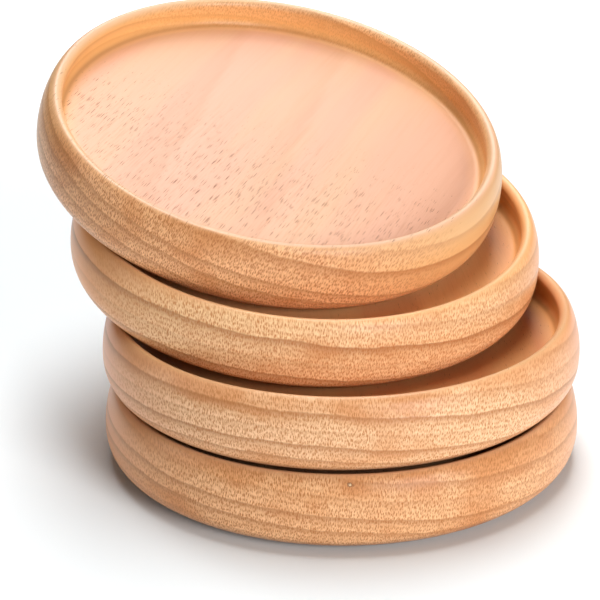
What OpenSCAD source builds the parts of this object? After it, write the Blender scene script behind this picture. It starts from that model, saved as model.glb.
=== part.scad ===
/* [Coaster] */
// Widest diameter of one coaster
coaster_d = 90; // [80:1:110]
// Height of one coaster
coaster_h = 15; // [14:0.5:20]
// Height above the base where the wall is widest
belly_h = 6.8; // [5:0.2:9]
// How far the flat underside stops short of the widest line, all round
base_inset = 8.7; // [6:0.1:12]
// How full the curve is from the base to the widest line: 0.5 is a straight chamfer, 0.71 an ellipse
base_curve_share = 0.76; // [0.7:0.01:0.85]
// How full the curve is from the widest line to the rim
rim_curve_share = 0.67; // [0.6:0.01:0.75]

/* [Recess] */
// How far the highest line of the rim stands in from the widest line
crest_inset = 2.7; // [2:0.1:3.5]
// Radius of the rounded lip inside the crest
lip_r = 1.4; // [1:0.1:2]
// Depth of the recess below the crest
recess_depth = 5.9; // [5:0.1:8]
// How far the recess wall is cut back under the lip
undercut = 0.4; // [0:0.1:0.8]
// Radius of the cove between the recess wall and the floor
cove_r = 2; // [1:0.1:2.4]

/* [Stack] */
// How far the second coaster has slipped back on the bottom one
second_shift = 1.2; // [0:0.1:2]
// How much the second coaster leans, in degrees
second_lean_deg = 0.4; // [0:0.1:0.8]
// Direction of its low side, in degrees from straight right
second_low_side_deg = -86; // [-90:1:-30]
// How far the third coaster is slid back on the second
third_shift = 15.5; // [12:0.1:17]
// Direction of its low side, in degrees from straight right
third_low_side_deg = -63; // [-90:1:-30]
// How far the top coaster is slid back on the third
top_shift = 12.9; // [11:0.1:17]
// Direction of its low side, in degrees from straight right
top_low_side_deg = -50; // [-90:1:-30]
// Clearance between coasters that rest on each other
seat_gap = 0.15; // [0.1:0.05:0.3]

/* [Hidden] */
$fn = 96;

// Pale peach of oiled beech
beech = [0.87, 0.68, 0.52];

coaster_r = coaster_d / 2;
base_r = coaster_r - base_inset;
crest_r = coaster_r - crest_inset;
floor_z = coaster_h - recess_depth;
wall_r = crest_r - lip_r + undercut;
lip_z = coaster_h - lip_r;

// Steps along each curve of the outline
curve_steps = 14;
lip_steps = 6;
cove_steps = 5;
// Samples round half of the rim, and passes of the search for the resting place
rim_samples = 45;
rest_passes = 4;
lean_passes = 14;
// Largest lean the search allows, in degrees
most_lean_deg = 25;

base_power = curve_power(base_curve_share);
rim_power = curve_power(rim_curve_share);

// Power of the superellipse that passes through this share of both half lengths
function curve_power(share) = -ln(2) / ln(share);

// Quarter curve from the end of its width (0) to the end of its height (1)
function quarter(width, height, power, t) =
    [width * pow(cos(90 * t), 2 / power), height * pow(sin(90 * t), 2 / power)];

// Outer wall below the widest line, from the base upwards
base_curve = [
    for (i = [0:curve_steps])
        let (q = quarter(coaster_r - base_r, belly_h, base_power, 1 - i / curve_steps))
            [base_r + q.x, belly_h - q.y]
];

// Outer wall above the widest line, up to the crest
rim_curve = [
    for (i = [1:curve_steps])
        let (q = quarter(coaster_r - crest_r, coaster_h - belly_h, rim_power, i / curve_steps))
            [crest_r + q.x, belly_h + q.y]
];

// Rounded lip from the crest inwards and down
lip_curve = [
    for (i = [1:lip_steps])
        let (a = 90 * i / lip_steps)
            [crest_r - lip_r * sin(a), lip_z + lip_r * cos(a)]
];

// Cove from the recess wall down to the floor
cove_curve = [
    for (i = [0:cove_steps])
        let (a = 90 * i / cove_steps)
            [wall_r - cove_r * (1 - cos(a)), floor_z + cove_r * (1 - sin(a))]
];

coaster_outline = concat([[0, 0]], base_curve, rim_curve, lip_curve, cove_curve, [[0, floor_z]]);

// Points of the rim that a coaster above can rest on: the lip and the top of the outer curve
rim_line = concat(lip_curve, [for (p = rim_curve) if (p.y > lip_z) p]);
rim_points = [
    for (i = [0:rim_samples], p = rim_line)
        let (a = 180 * i / rim_samples)
            [p.x * cos(a), p.x * sin(a), p.y]
];

// Height of the underside above the base plane at this radius
function underside(r) =
    r <= base_r ? 0 :
    r >= coaster_r ? coaster_h :
    belly_h * (1 - pow(1 - pow((r - base_r) / (coaster_r - base_r), base_power), 1 / base_power));

// How far a point of the rim below stands inside a coaster that is slid back, leans, and sits at z
function intrusion(p, shift, lean, z) =
    let (
        along = (p.x + shift) * cos(lean) - (p.z - z) * sin(lean),
        up = (p.x + shift) * sin(lean) + (p.z - z) * cos(lean)
    )
    (up - underside(norm([along, p.y]))) / cos(lean);

// Height of the coaster above where it just rests on the rim
function rim_rest(shift, lean, z = coaster_h, passes = rest_passes) =
    passes == 0 ? z :
    rim_rest(shift, lean, z + max([for (p = rim_points) intrusion(p, shift, lean, z)]), passes - 1);

// Height of the coaster above where its low edge just rests on the recess floor
function floor_rest(lean) =
    floor_z + max([for (p = base_curve) p.x * sin(lean) - p.y * cos(lean)]);

// Lean at which a coaster that is slid back rests on the rim and on the floor at once
function resting_lean(shift, low = 0, high = most_lean_deg, passes = lean_passes) =
    let (middle = (low + high) / 2)
    passes == 0 ? middle :
    rim_rest(shift, middle) > floor_rest(middle) ?
        resting_lean(shift, middle, high, passes - 1) :
        resting_lean(shift, low, middle, passes - 1);

third_lean = resting_lean(third_shift);
top_lean = resting_lean(top_shift);

// One turned coaster, upright, with the centre of its underside at the origin
module turned_coaster() {
    color(beech)
        rotate_extrude()
            polygon(coaster_outline);
}

// Puts its children on the coaster below: slid back from the low side, and leaning towards it
module rest_on(shift, lean, low_side) {
    rotate([0, 0, low_side])
        translate([-shift, 0, rim_rest(shift, lean) + seat_gap])
            rotate([0, lean, 0])
                rotate([0, 0, -low_side])
                    children();
}

module bottom_coaster() {
    turned_coaster();
}

module on_bottom() {
    rest_on(second_shift, second_lean_deg, second_low_side_deg)
        children();
}

module second_coaster() {
    on_bottom()
        turned_coaster();
}

module on_second() {
    on_bottom()
        rest_on(third_shift, third_lean, third_low_side_deg)
            children();
}

module third_coaster() {
    on_second()
        turned_coaster();
}

module top_coaster() {
    on_second()
        rest_on(top_shift, top_lean, top_low_side_deg)
            turned_coaster();
}

bottom_coaster();
second_coaster();
third_coaster();
top_coaster();
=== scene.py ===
import math

import bpy
import numpy as np
from mathutils import Matrix, Vector, noise


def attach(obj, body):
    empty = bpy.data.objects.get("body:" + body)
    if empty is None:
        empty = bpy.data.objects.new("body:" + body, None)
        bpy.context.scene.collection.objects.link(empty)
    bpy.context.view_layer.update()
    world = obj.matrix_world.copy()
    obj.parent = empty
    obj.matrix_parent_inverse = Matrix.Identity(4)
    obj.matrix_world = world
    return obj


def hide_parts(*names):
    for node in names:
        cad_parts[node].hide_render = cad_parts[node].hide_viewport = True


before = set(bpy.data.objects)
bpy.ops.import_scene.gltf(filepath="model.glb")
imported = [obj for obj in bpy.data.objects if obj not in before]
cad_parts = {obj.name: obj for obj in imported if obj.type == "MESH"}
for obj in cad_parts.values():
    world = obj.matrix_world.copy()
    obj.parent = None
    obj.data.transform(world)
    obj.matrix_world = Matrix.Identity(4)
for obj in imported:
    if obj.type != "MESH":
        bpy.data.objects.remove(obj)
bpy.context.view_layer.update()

MM = 0.001

# Outline of one turned coaster, in mm
HEIGHT = 15.0
WIDEST_R = 45.0
BELLY_Z = 6.8
BASE_R = WIDEST_R - 8.7
CREST_R = WIDEST_R - 2.7
LIP_R = 1.4
RECESS_DEPTH = 5.9
UNDERCUT = 0.4
COVE_R = 2.0
BASE_CURVE_SHARE = 0.76
RIM_CURVE_SHARE = 0.67
FLOOR_Z = HEIGHT - RECESS_DEPTH
WALL_R = CREST_R - LIP_R + UNDERCUT

# Fineness of the turned mesh
SEGMENTS = 288
CURVE_STEPS = 26
LIP_STEPS = 12
COVE_STEPS = 10
FLAT_STEPS = 22

# How far the turned wall wanders inwards from a true circle, in mm, how often it does so round the coaster
# and up its wall, over how many mm the wander grows from nothing outside the flat underside, and how much it
# changes per mm of log from one coaster to the next
TURNING_WANDER = 0.07
WANDER_ROUND = 1.4
WANDER_UP = 0.12
WANDER_GROWS = 6
WANDER_PER_LOG = 0.01

# Size of the drawn coaster beside the solid's, so that it stays inside by 0.01 mm
SANDED = 0.9997

# How each blank was cut from its plank, and its plank's own shade in sRGB. fibre: the way its fibre runs,
# in degrees from straight right. tilt, curve and lean: how the growth rings rise across the fibre, bend
# across it, and rise along it, per mm. along: where in the log it sits, in mm. rays and rays_end: how large
# its rays are, and how far along the fibre they show, in mm. shoulder: how strongly the shoulder under its
# rim is painted in shade, darker and warmer. rings: where a year's wood ends, in mm above the middle of the
# underside, each with how dark it ends. face and streak: its faces, and the lighter streaks in them. side:
# its walls where they run with the fibre. pore and end: the pores of its end grain, and the wood between
# them.
# pin_knot: where a knot 1 mm across shows, in mm on the finished coaster.
BLANKS = {
    "bottom": {
        "fibre": 94, "tilt": -0.090, "curve": 0.00075, "lean": -0.018, "along": 0,
        "rays": 0.6, "rays_end": 90, "shoulder": 1.0,
        "face": "#e2a67c", "streak": "#e3b183", "side": "#f0a974", "pore": "#be7843", "end": "#fac593",
        "rings": ((-3.9, 0.5), (-0.8, 0.6), (2.6, 0.5), (5.7, 0.8), (8.4, 0.8), (11.8, 0.3), (14.9, 0.7),
                  (18.3, 0.5)),
        "pin_knot": (0.7, -43.5, 13.6),
    },
    "second": {
        "fibre": 92, "tilt": -0.070, "curve": 0.00117, "lean": 0.025, "along": 410,
        "rays": 0.5, "rays_end": 90, "shoulder": 0.8,
        "face": "#ce8b5a", "streak": "#d29863", "side": "#f1ab7c", "pore": "#c6824e", "end": "#fdcfa2",
        "rings": ((-3.2, 0.5), (-0.4, 0.6), (2.7, 0.8), (5.4, 0.9), (8.2, 0.25), (11.2, 0.9), (14.8, 0.4),
                  (18.2, 0.6)),
    },
    "third": {
        "fibre": 98, "tilt": -0.065, "curve": 0.00088, "lean": 0.037, "along": 830,
        "rays": 0.5, "rays_end": 90, "shoulder": 0.1,
        "face": "#e9a771", "streak": "#ecb47a", "side": "#f6aa6c", "pore": "#ce8650", "end": "#ffd6a4",
        "rings": ((-3.5, 0.5), (-0.6, 0.6), (2.5, 0.9), (5.9, 0.25), (9.5, 1.0), (13.2, 0.4), (16.8, 0.6),
                  (20.1, 0.5)),
    },
    "top": {
        "fibre": 67, "tilt": -0.122, "curve": 0.00068, "lean": 0.023, "along": 1270,
        "rays": 1.0, "rays_end": 14, "shoulder": 0.4,
        "face": "#dba78b", "streak": "#dcad8b", "side": "#ebba80", "pore": "#b97343", "end": "#f9c08c",
        "rings": ((-2.1, 0.5), (1.3, 0.6), (4.4, 0.7), (7.5, 0.8), (9.7, 0.8), (14.8, 0.9), (18.4, 0.5),
                  (21.6, 0.5)),
    },
}


def curve_power(share):
    """Power of the superellipse that passes through this share of both half lengths."""
    return math.log(0.5) / math.log(share)


def quarter(width, height, power, t):
    """Point of a quarter curve, from the end of its width (0) to the end of its height (1)."""
    angle = t * math.pi / 2
    return width * math.cos(angle) ** (2 / power), height * math.sin(angle) ** (2 / power)


def coaster_outline():
    """Half section of the coaster as (radius, height) points, from under the middle to the recess floor."""
    points = [(BASE_R * i / FLAT_STEPS, 0.0) for i in range(FLAT_STEPS)]
    for i in range(CURVE_STEPS + 1):
        x, y = quarter(WIDEST_R - BASE_R, BELLY_Z, curve_power(BASE_CURVE_SHARE), 1 - i / CURVE_STEPS)
        points.append((BASE_R + x, BELLY_Z - y))
    for i in range(1, CURVE_STEPS + 1):
        x, y = quarter(WIDEST_R - CREST_R, HEIGHT - BELLY_Z, curve_power(RIM_CURVE_SHARE), i / CURVE_STEPS)
        points.append((CREST_R + x, BELLY_Z + y))
    for i in range(1, LIP_STEPS + 1):
        angle = math.pi / 2 * i / LIP_STEPS
        points.append((CREST_R - LIP_R * math.sin(angle), HEIGHT - LIP_R * (1 - math.cos(angle))))
    for i in range(COVE_STEPS + 1):
        angle = math.pi / 2 * i / COVE_STEPS
        points.append((WALL_R - COVE_R * (1 - math.cos(angle)), FLOOR_Z + COVE_R * (1 - math.sin(angle))))
    inner = WALL_R - COVE_R
    points += [(inner * (1 - i / FLAT_STEPS), FLOOR_Z) for i in range(1, FLAT_STEPS + 1)]
    return points


def resting_place(node):
    """Matrix of a coaster as packed: where the middle of its underside is, and how it leans."""
    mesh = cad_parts[node].data
    facing = {}
    for face in mesh.polygons:
        key = tuple(round(c, 3) for c in face.normal)
        area, centre, normal = facing.get(key, (0.0, Vector(), Vector()))
        facing[key] = (area + face.area, centre + face.center * face.area, normal + face.normal * face.area)
    flats = sorted(facing.values(), key=lambda flat: -flat[0])[:2]
    area, centre, normal = min(flats, key=lambda flat: flat[2].z)
    axis = -normal.normalized()
    turn = Vector((0, 0, 1)).rotation_difference(axis).to_matrix().to_4x4()
    return Matrix.Translation(centre / area) @ turn


def along_fibre(points, blank):
    """How far each point or direction runs along the fibre of the blank."""
    turn = math.radians(blank["fibre"])
    return points[:, 0] * math.cos(turn) + points[:, 1] * math.sin(turn)


def across_fibre(points, blank):
    """How far each point or direction runs level across the fibre of the blank."""
    turn = math.radians(blank["fibre"])
    return points[:, 1] * math.cos(turn) - points[:, 0] * math.sin(turn)


def in_the_log(points, blank):
    """Places in the log, in mm: along the fibre, round the growth rings, and out through them."""
    along = along_fibre(points, blank)
    across = across_fibre(points, blank)
    height = points[:, 2]
    slope = blank["tilt"] + 2 * blank["curve"] * across
    out = height + blank["tilt"] * across + blank["curve"] * across ** 2 + blank["lean"] * along
    return np.column_stack((along + blank["along"], across - height * slope, out))


def turned_mesh(name, wander_place):
    """Mesh of one coaster upright at the origin, and its points in mm."""
    outline = np.array(coaster_outline())
    rings = outline[1:-1]
    radius = np.repeat(rings[:, 0], SEGMENTS)
    height = np.repeat(rings[:, 1], SEGMENTS)
    angle = np.tile(np.arange(SEGMENTS) * 2 * math.pi / SEGMENTS, len(rings))
    wander = np.array([
        noise.noise(Vector((math.cos(a) * WANDER_ROUND, math.sin(a) * WANDER_ROUND, up)))
        for a, up in zip(angle, wander_place + height * WANDER_UP)
    ])
    wall = np.clip((radius - BASE_R) / WANDER_GROWS, 0, 1)
    radius = radius - np.abs(wander) * TURNING_WANDER * wall
    points = np.column_stack((radius * np.cos(angle), radius * np.sin(angle), height))
    points = np.vstack((points, [[0, 0, outline[0, 1]], [0, 0, outline[-1, 1]]])) * SANDED
    under_index, floor_index = len(points) - 2, len(points) - 1

    faces = []
    last = (len(rings) - 1) * SEGMENTS
    for j in range(SEGMENTS):
        k = (j + 1) % SEGMENTS
        faces.append((k, j, under_index))
        faces.append((last + j, last + k, floor_index))
        for low in range(0, last, SEGMENTS):
            faces.append((low + j, low + k, low + SEGMENTS + k, low + SEGMENTS + j))

    mesh = bpy.data.meshes.new(name)
    mesh.from_pydata([tuple(p * MM) for p in points], [], faces)
    mesh.polygons.foreach_set("use_smooth", [True] * len(mesh.polygons))
    mesh.update()
    return mesh, points


# Over how many mm the rays fade out along the fibre, how much of them is lost where they lie broadside, and
# how far a surface faces down before its painted underside shade begins, and over what more it is full
RAYS_FADE = 25
BROADSIDE_LOSS = 0.8
UNDER_FROM = 0.55
UNDER_GROWS = 0.4

# Where wear and painted shade show, in mm: the rubbed crest, which also carries a painted highlight, the
# painted shade on the shoulder above the belly, the painted warm shade below the lip on the recess wall, and
# the painted shade line at the foot of that wall
RUBBED_INSET = 0.5
RUBBED_WIDTH = 0.9
SHOULDER_FROM = BELLY_Z + 1.5
SHOULDER_GROWS = 4.5
AMBER_WIDTH = 1.8
AMBER_FROM = HEIGHT - 0.3
AMBER_GROWS = 1.5
CREASE_INSET = 0.7
CREASE_WIDTH = 0.35
CREASE_TOP = FLOOR_Z + 1.8
CREASE_GROWS = 0.6


def store(mesh, name, values):
    """Keeps one number or one vector for each point of the mesh, for its material to read."""
    is_vector = values.ndim == 2
    kept = mesh.attributes.new(name, "FLOAT_VECTOR" if is_vector else "FLOAT", "POINT")
    kept.data.foreach_set("vector" if is_vector else "value", values.astype(np.float32).ravel())


def bell(values, middle, width):
    """1 at the middle, falling off smoothly on both sides over about this width."""
    return np.exp(-((values - middle) / width) ** 2)


def store_grain(mesh, points, blank):
    """Which way the wood was cut at each point, where its rays show, and where painted shade darkens the
    underside.
    """
    normals = np.array([v.normal for v in mesh.vertices])
    broadside = np.abs(across_fibre(normals, blank))
    rays = blank["rays"] * np.clip((blank["rays_end"] - along_fibre(points, blank)) / RAYS_FADE, 0, 1)
    store(mesh, "log_place", in_the_log(points, blank))
    store(mesh, "end_grain", np.abs(along_fibre(normals, blank)))
    store(mesh, "upright", 1 - normals[:, 2] ** 2)
    # Painted shade: the more a surface faces down, the darker it is painted
    store(mesh, "painted_underside_shade", np.clip((-normals[:, 2] - UNDER_FROM) / UNDER_GROWS, 0, 1))
    store(mesh, "rays_shown", rays * (1 - BROADSIDE_LOSS * broadside))


def store_wear_and_painted_shade(mesh, points, blank):
    """Where the crest is rubbed and painted with a highlight, and where painted shade lies on the shoulder,
    the recess wall and the foot of that wall.
    """
    r, z = np.hypot(points[:, 0], points[:, 1]), points[:, 2]
    in_recess = (r < CREST_R) & (z > FLOOR_Z / 2)
    below_lip = np.clip((AMBER_FROM - z) / AMBER_GROWS, 0, 1)
    foot = np.clip((CREASE_TOP - z) / CREASE_GROWS, 0, 1)
    shoulder = (r > CREST_R) * np.clip((z - SHOULDER_FROM) / SHOULDER_GROWS, 0, 1)
    # The rubbed crest: real wear, and a painted highlight along it
    store(mesh, "worn_edge_and_highlight", bell(r, CREST_R - RUBBED_INSET, RUBBED_WIDTH) * bell(z, HEIGHT, RUBBED_WIDTH))
    # Painted shade: the shoulder under the rim is painted darker and warmer
    store(mesh, "painted_shoulder_shade", blank["shoulder"] * shoulder)
    # Painted shade: the recess wall below the lip is painted a deeper orange
    store(mesh, "recess_wall_shade", in_recess * bell(r, WALL_R, AMBER_WIDTH) * below_lip)
    # Painted shade: a brown line at the foot of the recess wall
    store(mesh, "painted_crease_shade", in_recess * bell(r, WALL_R - CREASE_INSET, CREASE_WIDTH) * foot)


def turned_coaster(name, blank, place):
    """One coaster turned from its blank, with the wood's own directions stored on its points."""
    mesh, points = turned_mesh(name, blank["along"] * WANDER_PER_LOG)
    store_grain(mesh, points, blank)
    store_wear_and_painted_shade(mesh, points, blank)
    mesh.transform(place)
    piece = bpy.data.objects.new(name, mesh)
    bpy.context.scene.collection.objects.link(piece)
    return piece


def linear(hex_colour):
    """An sRGB hex colour as the linear values that shaders take."""
    values = [int(hex_colour[i:i + 2], 16) / 255 for i in (1, 3, 5)]
    return tuple(v / 12.92 if v <= 0.04045 else ((v + 0.055) / 1.055) ** 2.4 for v in values) + (1.0,)


def add(tree, kind, inputs=None, out=0, stops=None, **settings):
    """Adds one node with its settings and links, and gives one of its outputs, if it has any. Inputs are
    values or outputs of other nodes. Stops are the (place, colour) pairs of a colour ramp."""
    made = tree.nodes.new(kind)
    for key, value in settings.items():
        setattr(made, key, value)
    for key, value in (inputs or {}).items():
        if isinstance(value, bpy.types.NodeSocket):
            tree.links.new(value, made.inputs[key])
        else:
            made.inputs[key].default_value = value
    if stops:
        ramp = made.color_ramp.elements
        while len(ramp) < len(stops):
            ramp.new(1.0)
        for stop, (at, colour) in zip(ramp, stops):
            stop.position = at
            stop.color = colour
    return made.outputs[out] if made.outputs else None


# Sizes of the wood's patterns in mm: along the fibre, round the growth rings, and out through them. Real
# beech has pores about 0.08 mm wide, which are drawn 0.11 mm wide so that they show.
RING_WANDER_SIZE = (60, 14, 14)
RING_EDGE_SIZE = (12, 0.9, 0.9)
RAY_SPACING = (3.6, 0.17, 9)
RAY_PATCH_SIZE = (45, 26, 40)
PORE_SIZE = (1.0, 0.11, 0.3)
FINE_RAY_SIZE = (4, 0.14, 1.0)
STREAK_SIZE = (20, 0.8, 0.8)
FINE_FIBRE_SIZE = (5, 0.24, 0.8)
TINT_SIZE = (120, 11, 6)
STAIN_SIZE = (30, 12, 7)

# The smallest and largest ray, as shares of the rays' spacing, how much of a ray is fully dark, and how far
# below nothing that dark core starts, so that a ray of no size stays away
RAY_SMALLEST = 0.1
RAY_LARGEST = 0.38
RAY_CORE = 0.6
RAY_CORE_FROM = -0.001

# Spacing of the broad rays' dark dashes on the end grain, round the rings and out through them, in mm, and
# how much the dashes, the pores and the fine rays count in its hatch
DASH_ROW = 0.32
DASH_PITCH = 0.95
DASH_SHARE = 0.45
PORE_SHARE = 0.35
FINE_RAY_SHARE = 0.2

# How deep the grain can be felt, in mm
GRAIN_DEPTH = 0.05

# Range of heights that the rings' ramp covers, half the width of a ring's sharp end, and how far a ring
# wanders and how ragged it is, in mm
RINGS_FROM = -6.0
RINGS_TO = 24.0
RING_END = 0.14
RING_WANDER = 1.6
RING_RAGGED = 0.35

# Share of a year's growth after which the late wood begins, and how dark it begins, as a share of its end
LATE_FROM = 0.62
LATE_START = 0.3

# Radius of the pin knot, over how much of it its dark ring comes in, and then its heart, and how ragged it
# is, in mm
KNOT_R = 0.6
KNOT_EDGE = 0.25
KNOT_RAGGED = 1.6

# Beech tones in sRGB that all four share: ray ends, rays seen broadside, a pin knot, late wood, warm stains
# in the end grain, which also give the painted shade on the shoulder, the rubbed crest with its painted
# highlight, the painted warm shade on the recess wall below the lip, the painted shade line in the corner of
# the recess, and the painted shade on the underside
RAY_BROWN = "#78431f"
FLECK = "#c0762f"
KNOT = "#6b3a1e"
LATE = "#b07040"
WARM = "#d07c38"
RUBBED = "#f3d5a8"
AMBER_SHADE = "#ffc076"
CREASE_SHADE = "#9a5a2a"
UNDERSIDE_SHADE = "#7d5032"


def ring_stops(rings):
    """Ramp through the growth rings: each year's wood starts pale, darkens outwards, and ends sharply."""
    span = RINGS_TO - RINGS_FROM
    stops = [(0.0, (0, 0, 0, 1))]
    start = RINGS_FROM
    for end, dark in rings:
        late = start + (end - start) * LATE_FROM
        stops.append(((late - RINGS_FROM) / span, (dark * LATE_START,) * 3 + (1,)))
        stops.append(((end - RING_END - RINGS_FROM) / span, (dark,) * 3 + (1,)))
        stops.append(((end + RING_END - RINGS_FROM) / span, (0, 0, 0, 1)))
        start = end
    return stops


def ragged_edge(tree, place):
    """Short waver that roughens the edge of each ring and of a knot."""
    quick = add(tree, "ShaderNodeVectorMath", {0: place, 1: RING_EDGE_SIZE}, operation="DIVIDE")
    return add(tree, "ShaderNodeTexNoise", {"Vector": quick, "Scale": 1.0, "Detail": 2.0}, out="Fac")


def late_wood_of(tree, place, upright, ragged, rings):
    """Dark late wood at the end of each year's ring, plainer on the faces, which run along the rings."""
    slow = add(tree, "ShaderNodeVectorMath", {0: place, 1: RING_WANDER_SIZE}, operation="DIVIDE")
    wander = add(tree, "ShaderNodeTexNoise", {"Vector": slow, "Scale": 1.0, "Detail": 2.0}, out="Fac")
    out_place = add(tree, "ShaderNodeSeparateXYZ", {0: place}, out="Z")
    bent = add(tree, "ShaderNodeMath", {0: wander, 1: RING_WANDER, 2: out_place}, operation="MULTIPLY_ADD")
    bent = add(tree, "ShaderNodeMath", {0: ragged, 1: RING_RAGGED, 2: bent}, operation="MULTIPLY_ADD")
    moved = (RING_WANDER + RING_RAGGED) / 2
    at = add(tree, "ShaderNodeMapRange",
             {"Value": bent, "From Min": RINGS_FROM + moved, "From Max": RINGS_TO + moved})
    late_wood = add(tree, "ShaderNodeValToRGB", {"Fac": at}, stops=ring_stops(rings))
    cut_square = add(tree, "ShaderNodeMapRange", {"Value": upright, "To Min": 0.2, "To Max": 0.85})
    return add(tree, "ShaderNodeMath", {0: late_wood, 1: cut_square}, operation="MULTIPLY")


def rays_of(tree, place, shown):
    """Rays: lenses up to 2.7 mm along the fibre, 0.13 mm thick and 7 mm deep, fewer in some of the wood."""
    spaced = add(tree, "ShaderNodeVectorMath", {0: place, 1: RAY_SPACING}, operation="DIVIDE")
    far = add(tree, "ShaderNodeTexVoronoi", {"Vector": spaced, "Scale": 1.0}, out="Distance")
    size = add(tree, "ShaderNodeSeparateXYZ", {0: far.node.outputs["Color"]})
    size = add(tree, "ShaderNodeMapRange", {"Value": size, "To Min": RAY_SMALLEST, "To Max": RAY_LARGEST})
    patch = add(tree, "ShaderNodeVectorMath", {0: place, 1: RAY_PATCH_SIZE}, operation="DIVIDE")
    patch = add(tree, "ShaderNodeTexNoise", {"Vector": patch, "Scale": 1.0, "Detail": 1.0}, out="Fac")
    patch = add(tree, "ShaderNodeMapRange",
                {"Value": patch, "From Min": 0.25, "From Max": 0.55, "To Min": 0.65})
    patch = add(tree, "ShaderNodeMath", {0: patch, 1: shown}, operation="MULTIPLY")
    edge = add(tree, "ShaderNodeMath", {0: patch, 1: size}, operation="MULTIPLY")
    core = add(tree, "ShaderNodeMath", {0: edge, 1: RAY_CORE, 2: RAY_CORE_FROM}, operation="MULTIPLY_ADD")
    return add(tree, "ShaderNodeMapRange", {"Value": far, "From Min": edge, "From Max": core})


def hatch_of(tree, place):
    """Hatch of the end grain, 0 in its dark spots and 1 between them: pores, fine upright rays 0.14 mm wide
    and 1 mm tall, and the dark dashes of broad rays in rows."""
    cells = add(tree, "ShaderNodeVectorMath", {0: place, 1: PORE_SIZE}, operation="DIVIDE")
    cells = add(tree, "ShaderNodeTexVoronoi", {"Vector": cells, "Scale": 1.0}, out="Color")
    pores = add(tree, "ShaderNodeSeparateXYZ", {0: cells})
    cells = add(tree, "ShaderNodeVectorMath", {0: place, 1: FINE_RAY_SIZE}, operation="DIVIDE")
    cells = add(tree, "ShaderNodeTexVoronoi", {"Vector": cells, "Scale": 1.0}, out="Color")
    fine_rays = add(tree, "ShaderNodeSeparateXYZ", {0: cells})
    flat_place = add(tree, "ShaderNodeMapping", {"Vector": place, "Rotation": (0, math.pi / 2, 0),
                                                 "Scale": (0, 1 / DASH_ROW, 1 / DASH_PITCH)})
    dashes = add(tree, "ShaderNodeTexVoronoi", {"Vector": flat_place, "Scale": 1.0, "Randomness": 0.75},
                 out="Distance", voronoi_dimensions="2D")
    dashes = add(tree, "ShaderNodeMapRange", {"Value": dashes, "From Min": 0.1, "From Max": 0.42})
    hatch = add(tree, "ShaderNodeMath", {0: fine_rays, 1: FINE_RAY_SHARE}, operation="MULTIPLY")
    hatch = add(tree, "ShaderNodeMath", {0: pores, 1: PORE_SHARE, 2: hatch}, operation="MULTIPLY_ADD")
    hatch = add(tree, "ShaderNodeMath", {0: dashes, 1: DASH_SHARE, 2: hatch}, operation="MULTIPLY_ADD")
    return add(tree, "ShaderNodeMapRange", {"Value": hatch, "From Min": 0.31, "From Max": 0.83})


def face_of(tree, place, upright, shown, fibre, blank):
    """Colour where the cut runs with the fibre: broad tints of the plank, and fine darker fibre in it."""
    tint = add(tree, "ShaderNodeVectorMath", {0: place, 1: TINT_SIZE}, operation="DIVIDE")
    tint = add(tree, "ShaderNodeTexNoise", {"Vector": tint, "Scale": 1.0, "Detail": 2.0}, out="Fac")
    tint = add(tree, "ShaderNodeMapRange", {"Value": tint, "From Min": 0.42, "From Max": 0.66},
               interpolation_type="SMOOTHSTEP")
    fine = add(tree, "ShaderNodeVectorMath", {0: place, 1: FINE_FIBRE_SIZE}, operation="DIVIDE")
    fine = add(tree, "ShaderNodeTexNoise", {"Vector": fine, "Scale": 1.0, "Detail": 1.0}, out="Fac")
    fine = add(tree, "ShaderNodeMapRange", {"Value": fine, "From Min": 0.5, "From Max": 0.75, "To Max": 0.22})
    broad = add(tree, "ShaderNodeMapRange",
                {"Value": fibre, "From Min": 0.45, "From Max": 0.8, "To Max": 0.08})
    darker = add(tree, "ShaderNodeMath", {0: fine, 1: shown, 2: broad}, operation="MULTIPLY_ADD")
    face = linear(blank["face"])
    for mask, tone in ((tint, blank["streak"]), (darker, LATE), (upright, blank["side"])):
        face = add(tree, "ShaderNodeMix", {"Factor": mask, "A": face, "B": linear(tone)},
                   out="Result", data_type="RGBA")
    return face


def end_of(tree, place, shoulder, hatch, blank):
    """Colour of the end grain: pale wood with warm stains, painted shade that makes the shoulder warmer and
    darker, and dark pores and dashes in it.
    """
    stain = add(tree, "ShaderNodeVectorMath", {0: place, 1: STAIN_SIZE}, operation="DIVIDE")
    stain = add(tree, "ShaderNodeTexNoise", {"Vector": stain, "Scale": 1.0, "Detail": 2.0}, out="Fac")
    # Painted shade: the shoulder under the rim is pushed into the warm stain
    stain = add(tree, "ShaderNodeMath", {0: shoulder, 1: 0.17, 2: stain}, operation="MULTIPLY_ADD")
    stain = add(tree, "ShaderNodeMapRange",
                {"Value": stain, "From Min": 0.52, "From Max": 0.74, "To Max": 0.6})
    wood = add(tree, "ShaderNodeMix", {"Factor": stain, "A": linear(blank["end"]), "B": linear(WARM)},
               out="Result", data_type="RGBA")
    return add(tree, "ShaderNodeMix", {"Factor": hatch, "A": linear(blank["pore"]), "B": wood},
               out="Result", data_type="RGBA")


def pin_knot_of(tree, place, ragged, blank):
    """Masks of a pin knot's dark ring and its pale heart."""
    middle = tuple(in_the_log(np.array([blank["pin_knot"]]), blank)[0])
    far = add(tree, "ShaderNodeVectorMath", {0: place, 1: middle}, operation="DISTANCE", out="Value")
    far = add(tree, "ShaderNodeMath", {0: ragged, 1: KNOT_RAGGED, 2: far}, operation="MULTIPLY_ADD")
    outside = KNOT_R + KNOT_RAGGED / 2
    inside = outside - KNOT_EDGE
    ring = add(tree, "ShaderNodeMapRange", {"Value": far, "From Min": outside, "From Max": inside})
    heart = add(tree, "ShaderNodeMapRange",
                {"Value": far, "From Min": inside, "From Max": inside - KNOT_EDGE})
    return ring, heart


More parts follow.
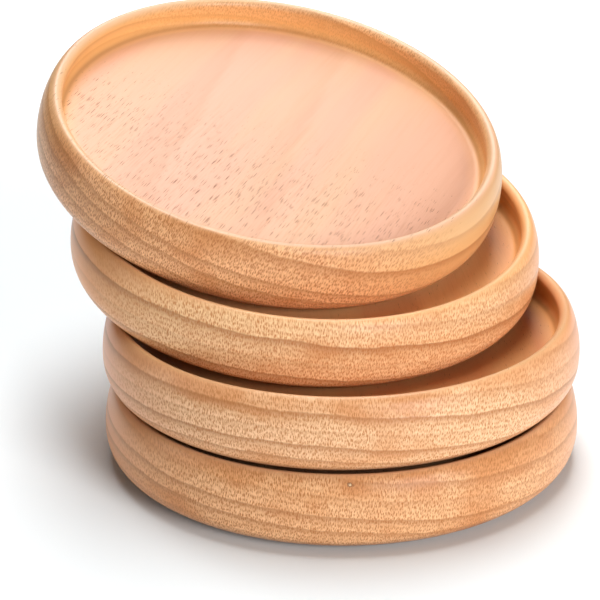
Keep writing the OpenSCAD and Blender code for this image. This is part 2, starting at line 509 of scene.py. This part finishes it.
def oiled_beech(name, blank):
    """Steamed beech, turned, sanded and rubbed with clear oil. The eye gets a satin pinkish face with short
    dark ray dashes along the fibre, and a browner, hatched end grain with the rings as fine steps."""
    material = bpy.data.materials.new(name)
    material.use_nodes = True
    tree = material.node_tree
    tree.nodes.clear()
    place = add(tree, "ShaderNodeAttribute", attribute_name="log_place", out="Vector")
    end_grain, upright, shaded_underside, shown, worn, shoulder, corner, shaded_crease = (
        add(tree, "ShaderNodeAttribute", attribute_name=stored, out="Fac")
        for stored in ("end_grain", "upright", "painted_underside_shade", "rays_shown", "worn_edge_and_highlight", "painted_shoulder_shade",
                       "recess_wall_shade", "painted_crease_shade")
    )
    ragged = ragged_edge(tree, place)
    late_wood = late_wood_of(tree, place, upright, ragged, blank["rings"])
    rays = rays_of(tree, place, shown)
    hatch = hatch_of(tree, place)
    fibre = add(tree, "ShaderNodeVectorMath", {0: place, 1: STREAK_SIZE}, operation="DIVIDE")
    fibre = add(tree, "ShaderNodeTexNoise", {"Vector": fibre, "Scale": 1.0, "Detail": 2.0}, out="Fac")

    # Face and end grain, then what lies over both: each with how strongly it shows, and its tone
    face = face_of(tree, place, upright, shown, fibre, blank)
    end = end_of(tree, place, shoulder, hatch, blank)
    cut_across = add(tree, "ShaderNodeMapRange", {"Value": end_grain, "From Min": 0.22, "From Max": 0.75})
    colour = add(tree, "ShaderNodeMix", {"Factor": cut_across, "A": face, "B": end},
                 out="Result", data_type="RGBA")
    ray_tone = add(tree, "ShaderNodeMix", {"Factor": upright, "A": linear(RAY_BROWN), "B": linear(FLECK)},
                   out="Result", data_type="RGBA")
    layers = [
        (late_wood, 1.0, linear(LATE)),
        # Painted shade on the recess wall below the lip
        (corner, 0.65, linear(AMBER_SHADE)),
        # Painted shade line at the foot of the recess wall
        (shaded_crease, 0.4, linear(CREASE_SHADE)),
        # Rubbed crest: real wear, and a painted highlight along it
        (worn, 0.3, linear(RUBBED)),
        (rays, 1.0, ray_tone),
    ]
    if "pin_knot" in blank:
        ring, heart = pin_knot_of(tree, place, ragged, blank)
        layers += [(ring, 0.7, linear(KNOT)), (heart, 0.9, linear(RUBBED))]
    # Painted shade on the underside
    layers.append((shaded_underside, 0.8, linear(UNDERSIDE_SHADE)))
    for mask, strength, tone in layers:
        mask = add(tree, "ShaderNodeMath", {0: mask, 1: strength}, operation="MULTIPLY")
        colour = add(tree, "ShaderNodeMix", {"Factor": mask, "A": colour, "B": tone},
                     out="Result", data_type="RGBA")

    # Finish: satin, burnished on the walls, duller in the open rays, smoother where rubbed
    rough = add(tree, "ShaderNodeMath", {0: upright, 1: -0.09, 2: 0.39}, operation="MULTIPLY_ADD")
    rough = add(tree, "ShaderNodeMath", {0: rays, 1: 0.12, 2: rough}, operation="MULTIPLY_ADD")
    rough = add(tree, "ShaderNodeMath", {0: worn, 1: -0.08, 2: rough}, operation="MULTIPLY_ADD")
    grain = add(tree, "ShaderNodeMath", {0: hatch, 1: cut_across}, operation="MULTIPLY")
    relief = add(tree, "ShaderNodeMath", {0: fibre, 1: 0.3, 2: late_wood}, operation="MULTIPLY_ADD")
    relief = add(tree, "ShaderNodeMath", {0: rays, 1: -0.8, 2: relief}, operation="MULTIPLY_ADD")
    relief = add(tree, "ShaderNodeMath", {0: grain, 1: 0.6, 2: relief}, operation="MULTIPLY_ADD")
    bump = add(tree, "ShaderNodeBump", {"Strength": 0.6, "Distance": GRAIN_DEPTH * MM, "Height": relief},
               out="Normal")
    shader = add(tree, "ShaderNodeBsdfPrincipled",
                 {"Base Color": colour, "Roughness": rough, "Normal": bump, "IOR": 1.45,
                  "Specular IOR Level": 0.3})
    add(tree, "ShaderNodeOutputMaterial", {"Surface": shader})
    return material


for body, blank in BLANKS.items():
    node = body + "_coaster"
    coaster = turned_coaster(body + "_turned_coaster", blank, resting_place(node))
    coaster.data.materials.append(oiled_beech("oiled_beech_" + body, blank))
    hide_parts(node)
    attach(coaster, body)


# The photograph's camera, from the fit to the four outlines: degrees, mm, and pixels of the 600 px frame
VIEW_ELEVATION = 22.256
VIEW_ROLL = -0.351
VIEW_DISTANCE = 380.356
PIXELS_PER_MM = 5.175
FOOT_COLUMN = 340.862
FOOT_ROW = 443.104
FRAME_PX = 600
SENSOR_MM = 36.0
CLIP_START = 0.01

elevation = math.radians(VIEW_ELEVATION)
roll = math.radians(VIEW_ROLL)
backward = Vector((0, -math.cos(elevation), math.sin(elevation)))
level_right = Vector((1, 0, 0))
level_up = backward.cross(level_right)
right = level_right * math.cos(roll) + level_up * math.sin(roll)
up = level_up * math.cos(roll) - level_right * math.sin(roll)
move_right = (FRAME_PX / 2 - FOOT_COLUMN) / PIXELS_PER_MM
move_down = (FRAME_PX / 2 - FOOT_ROW) / PIXELS_PER_MM
eye = backward * VIEW_DISTANCE + right * move_right - up * move_down
camera_data = bpy.data.cameras.new("camera")
camera_data.sensor_width = SENSOR_MM
camera_data.lens = SENSOR_MM * PIXELS_PER_MM * VIEW_DISTANCE / FRAME_PX
camera_data.clip_start = CLIP_START
camera = bpy.data.objects.new("camera", camera_data)
bpy.context.scene.collection.objects.link(camera)
turned = Matrix((right, up, backward)).transposed().to_4x4()
camera.matrix_world = Matrix.Translation(eye * MM) @ turned
bpy.context.scene.camera = camera

# Half the width of the ground, and how far from the middle its own light begins and is full, in metres
GROUND_HALF = 3.0
GLOW_FROM = 0.15
GLOW_FULL = 0.7


def white_card():
    """Matt white card: it catches the shadow, and further out its own light keeps it white to the camera."""
    material = bpy.data.materials.new("white_card")
    material.use_nodes = True
    tree = material.node_tree
    tree.nodes.clear()
    card = add(tree, "ShaderNodeBsdfDiffuse", {"Color": linear("#eff4f6")})
    place = add(tree, "ShaderNodeNewGeometry", out="Position")
    away = add(tree, "ShaderNodeVectorMath", {0: place}, operation="LENGTH", out="Value")
    away = add(tree, "ShaderNodeMapRange", {"Value": away, "From Min": GLOW_FROM, "From Max": GLOW_FULL},
               interpolation_type="SMOOTHSTEP")
    glow = add(tree, "ShaderNodeEmission", {"Color": linear("#ffffff"), "Strength": away})
    both = add(tree, "ShaderNodeAddShader", {0: card, 1: glow})
    seen = add(tree, "ShaderNodeLightPath", out="Is Camera Ray")
    card = add(tree, "ShaderNodeMixShader", {"Fac": seen, 1: card, 2: both})
    add(tree, "ShaderNodeOutputMaterial", {"Surface": card})
    return material


ground_mesh = bpy.data.meshes.new("ground")
corners = [(x * GROUND_HALF, y * GROUND_HALF, 0) for x, y in ((-1, -1), (1, -1), (1, 1), (-1, 1))]
ground_mesh.from_pydata(corners, [], [(0, 1, 2, 3)])
ground_mesh.materials.append(white_card())
ground = bpy.data.objects.new("ground", ground_mesh)
bpy.context.scene.collection.objects.link(ground)

# Where the lamps aim and how far off they stand, in metres
STACK_MIDDLE = Vector((0, 0.01, 0.04))
LAMP_DISTANCE = 0.9
LAMP_SIZE = 0.4

# Soft square lamps: bearing in degrees from straight right, height in degrees, and watts
LAMPS = {
    "side_box": (-56, 17, 6.5),
    "back_box": (90, 65, 4.7),
    "top_box": (0, 90, 4.0),
    "low_back_box": (90, 40, 1.6),
    "left_box": (185, 15, 1.0),
}

for name, (bearing, height, watts) in LAMPS.items():
    data = bpy.data.lights.new(name, "AREA")
    data.shape = "SQUARE"
    data.size = LAMP_SIZE
    data.energy = watts
    lamp = bpy.data.objects.new(name, data)
    bpy.context.scene.collection.objects.link(lamp)
    turn, rise = math.radians(bearing), math.radians(height)
    outward = Vector((math.cos(rise) * math.cos(turn), math.cos(rise) * math.sin(turn), math.sin(rise)))
    stand = Matrix.Translation(STACK_MIDDLE + outward * LAMP_DISTANCE)
    lamp.matrix_world = stand @ outward.to_track_quat("Z", "Y").to_matrix().to_4x4()

# White paper all round, which only the camera sees
world = bpy.data.worlds.new("studio")
bpy.context.scene.world = world
world.use_nodes = True
sky = world.node_tree
sky.nodes.clear()
dark = add(sky, "ShaderNodeBackground", {"Color": linear("#ffffff"), "Strength": 0.0})
paper = add(sky, "ShaderNodeBackground", {"Color": linear("#ffffff"), "Strength": 1.0})
seen = add(sky, "ShaderNodeLightPath", out="Is Camera Ray")
both = add(sky, "ShaderNodeMixShader", {"Fac": seen, 1: dark, 2: paper})
add(sky, "ShaderNodeOutputWorld", {"Surface": both})
bpy.context.scene.view_settings.view_transform = "Standard"
